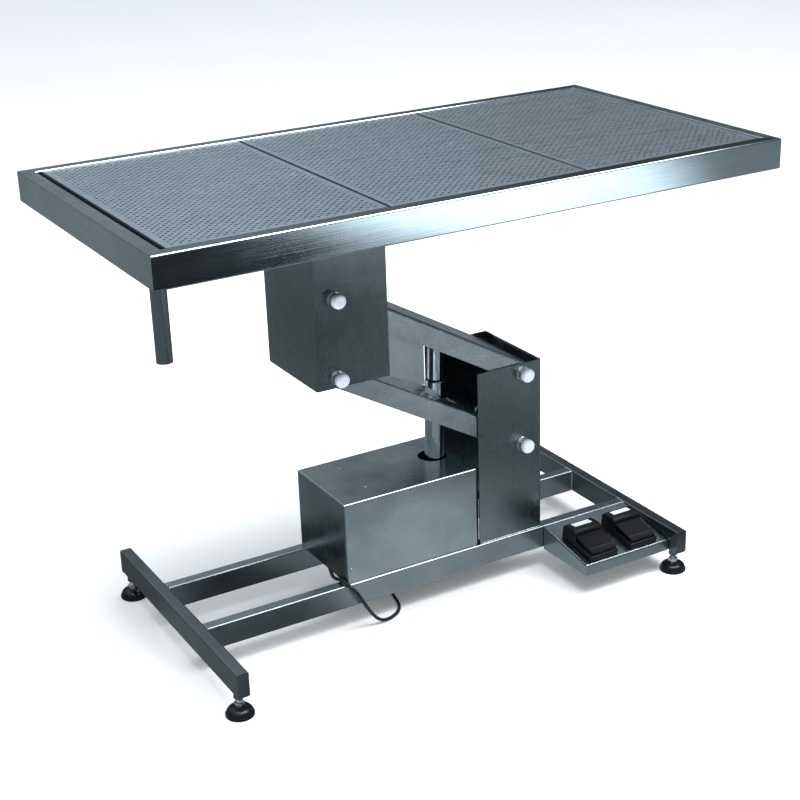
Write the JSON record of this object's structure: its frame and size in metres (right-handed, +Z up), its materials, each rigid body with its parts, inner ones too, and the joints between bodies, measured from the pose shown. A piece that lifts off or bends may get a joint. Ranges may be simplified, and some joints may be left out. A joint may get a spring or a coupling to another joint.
{
  "type": "electric lift veterinary table",
  "caption": "Stainless veterinary preparation table with a perforated tray top on an electric parallelogram lift, foot pedals and an H-shaped base on levelling feet.",
  "frame": {"origin": "on the floor below the middle of the tray top", "axes": "+X along the table towards the pedals, the front with the pedals at -Y, +Z up"},
  "size_m": [1.3, 0.672, 0.919],
  "materials": {
    "cross_tube_left": "brushed stainless sheet",
    "cross_tube_right": "brushed stainless sheet",
    "rail_front": "brushed stainless sheet",
    "rail_back": "brushed stainless sheet",
    "bed_plate": "dull mill-finish stainless steel",
    "actuator_clevis": "dull mill-finish stainless steel",
    "clevis_pin": "bright polished steel",
    "motor_cover": "brushed stainless sheet",
    "cover_screw_front": "bright polished steel",
    "cover_screw_back": "bright polished steel",
    "cover_screw_side": "bright polished steel",
    "control_box": "matt black plastic",
    "column": "brushed stainless sheet",
    "column_upper_bolt": "bright polished steel",
    "column_lower_bolt": "bright polished steel",
    "column_upper_cap_front": "smooth white plastic",
    "column_upper_cap_back": "smooth white plastic",
    "column_lower_cap_front": "smooth white plastic",
    "column_lower_cap_back": "smooth white plastic",
    "pedal_platform": "brushed stainless sheet",
    "pedal_base_left": "matt black plastic",
    "pedal_base_right": "matt black plastic",
    "treadle_pin_left": "bright polished steel",
    "treadle_pin_right": "bright polished steel",
    "strain_relief": "black flexible cable sheath",
    "cord_lead": "black flexible cable sheath",
    "cord_coil": "black flexible cable sheath",
    "plug": "black flexible cable sheath",
    "foot_front_left": "matt black plastic",
    "foot_front_right": "matt black plastic",
    "foot_back_left": "matt black plastic",
    "foot_back_right": "matt black plastic",
    "treadle_left": "matt black plastic",
    "treadle_right": "matt black plastic",
    "upper_arm": "brushed stainless sheet",
    "rod_bracket": "dull mill-finish stainless steel",
    "rod_pin": "bright polished steel",
    "arm_guard_plate": "brushed stainless sheet",
    "lower_arm": "brushed stainless sheet",
    "actuator_rod": "bright polished steel",
    "actuator_tube": "bright polished steel",
    "gearbox": "dull mill-finish stainless steel",
    "motor": "matt black plastic",
    "top_box": "brushed stainless sheet",
    "box_upper_bolt": "bright polished steel",
    "box_lower_bolt": "bright polished steel",
    "box_upper_cap_front": "smooth white plastic",
    "box_upper_cap_back": "smooth white plastic",
    "box_lower_cap_front": "smooth white plastic",
    "box_lower_cap_back": "smooth white plastic",
    "top_bearers": "dull mill-finish stainless steel",
    "rim_front": "brushed stainless sheet",
    "rim_back": "brushed stainless sheet",
    "rim_left": "brushed stainless sheet",
    "rim_right": "brushed stainless sheet",
    "drain_pan": "brushed stainless sheet",
    "drain_pipe": "brushed stainless sheet",
    "panel_left": "brushed stainless sheet",
    "panel_middle": "brushed stainless sheet",
    "panel_right": "brushed stainless sheet"
  },
  "bodies": {
    "base": {"cross_tube_left": "cross_tube_left", "cross_tube_right": "cross_tube_right", "rail_front": "rail_front", "rail_back": "rail_back", "bed_plate": "bed_plate", "actuator_clevis": "actuator_clevis", "clevis_pin": "clevis_pin", "motor_cover": "motor_cover", "cover_screw_front": "cover_screw_front", "cover_screw_back": "cover_screw_back", "cover_screw_side": "cover_screw_side", "control_box": "control_box", "column": "column", "column_upper_bolt": "column_upper_bolt", "column_lower_bolt": "column_lower_bolt", "column_upper_cap_front": "column_upper_cap_front", "column_upper_cap_back": "column_upper_cap_back", "column_lower_cap_front": "column_lower_cap_front", "column_lower_cap_back": "column_lower_cap_back", "pedal_platform": "pedal_platform", "pedal_base_left": "pedal_base_left", "pedal_base_right": "pedal_base_right", "treadle_pin_left": "treadle_pin_left", "treadle_pin_right": "treadle_pin_right", "strain_relief": "strain_relief", "cord_lead": "cord_lead", "cord_coil": "cord_coil", "plug": "plug"},
    "foot_front_left": {"foot_front_left": "foot_front_left"},
    "foot_front_right": {"foot_front_right": "foot_front_right"},
    "foot_back_left": {"foot_back_left": "foot_back_left"},
    "foot_back_right": {"foot_back_right": "foot_back_right"},
    "treadle_left": {"treadle_left": "treadle_left"},
    "treadle_right": {"treadle_right": "treadle_right"},
    "upper_arm": {"upper_arm": "upper_arm", "rod_bracket": "rod_bracket", "rod_pin": "rod_pin", "arm_guard_plate": "arm_guard_plate"},
    "lower_arm": {"lower_arm": "lower_arm"},
    "actuator_rod": {"actuator_rod": "actuator_rod"},
    "actuator_body": {"actuator_tube": "actuator_tube", "gearbox": "gearbox", "motor": "motor"},
    "table_top": {"top_box": "top_box", "box_upper_bolt": "box_upper_bolt", "box_lower_bolt": "box_lower_bolt", "box_upper_cap_front": "box_upper_cap_front", "box_upper_cap_back": "box_upper_cap_back", "box_lower_cap_front": "box_lower_cap_front", "box_lower_cap_back": "box_lower_cap_back", "top_bearers": "top_bearers", "rim_front": "rim_front", "rim_back": "rim_back", "rim_left": "rim_left", "rim_right": "rim_right", "drain_pan": "drain_pan", "drain_pipe": "drain_pipe"},
    "panel_left": {"panel_left": "panel_left"},
    "panel_middle": {"panel_middle": "panel_middle"},
    "panel_right": {"panel_right": "panel_right"}
  },
  "joints": [
    {"name": "lift", "type": "hinge", "parent": "base", "child": "upper_arm", "pos_m": [0.2045, 0, 0.459], "axis": [0, 1, 0], "range_deg": [-28, 3]},
    {"name": "lower_arm_swing", "type": "hinge", "parent": "base", "child": "lower_arm", "pos_m": [0.2045, 0, 0.3027], "axis": [0, 1, 0], "range_deg": [-28, 3]},
    {"name": "top_level", "type": "hinge", "parent": "upper_arm", "child": "table_top", "pos_m": [-0.2155, 0, 0.69954], "axis": [0, 1, 0], "range_deg": [-3, 28]},
    {"name": "rod_swing", "type": "hinge", "parent": "upper_arm", "child": "actuator_rod", "pos_m": [0.06392, 0, 0.53951], "axis": [0, 1, 0], "range_deg": [-2.62, 24.41]},
    {"name": "actuator_slide", "type": "slide", "parent": "actuator_rod", "child": "actuator_body", "axis": [-0.0364, 0, -0.9993], "range_m": [-0.07497, 0.00812]},
    {"name": "foot_height_front_left", "type": "slide", "parent": "base", "child": "foot_front_left", "axis": [0, 0, -1], "range_m": [0, 0.02]},
    {"name": "foot_height_front_right", "type": "slide", "parent": "base", "child": "foot_front_right", "axis": [0, 0, -1], "range_m": [0, 0.02]},
    {"name": "foot_height_back_left", "type": "slide", "parent": "base", "child": "foot_back_left", "axis": [0, 0, -1], "range_m": [0, 0.02]},
    {"name": "foot_height_back_right", "type": "slide", "parent": "base", "child": "foot_back_right", "axis": [0, 0, -1], "range_m": [0, 0.02]},
    {"name": "treadle_press_left", "type": "hinge", "parent": "base", "child": "treadle_left", "pos_m": [0.303, -0.17996, 0.10448], "axis": [1, 0, 0], "range_deg": [0, 5], "stiffness_Nm_per_rad": 1.5, "springref_deg": -8.59},
    {"name": "treadle_press_right", "type": "hinge", "parent": "base", "child": "treadle_right", "pos_m": [0.404, -0.17996, 0.10448], "axis": [1, 0, 0], "range_deg": [0, 5], "stiffness_Nm_per_rad": 1.5, "springref_deg": -8.59},
    {"name": "panel_lift_left", "type": "slide", "parent": "table_top", "child": "panel_left", "axis": [0, 0, 1], "range_m": [0, 0.06]},
    {"name": "panel_lift_middle", "type": "slide", "parent": "table_top", "child": "panel_middle", "axis": [0, 0, 1], "range_m": [0, 0.06]},
    {"name": "panel_lift_right", "type": "slide", "parent": "table_top", "child": "panel_right", "axis": [0, 0, 1], "range_m": [0, 0.06]}
  ],
  "couplings": [
    {"joint": "lower_arm_swing", "follows": "lift", "ratio": 1},
    {"joint": "top_level", "follows": "lift", "ratio": -1},
    {"joint": "rod_swing", "follows": "lift", "ratio": -0.8716},
    {"joint": "actuator_slide", "follows": "lift", "m_per_rad": 0.1532}
  ]
}
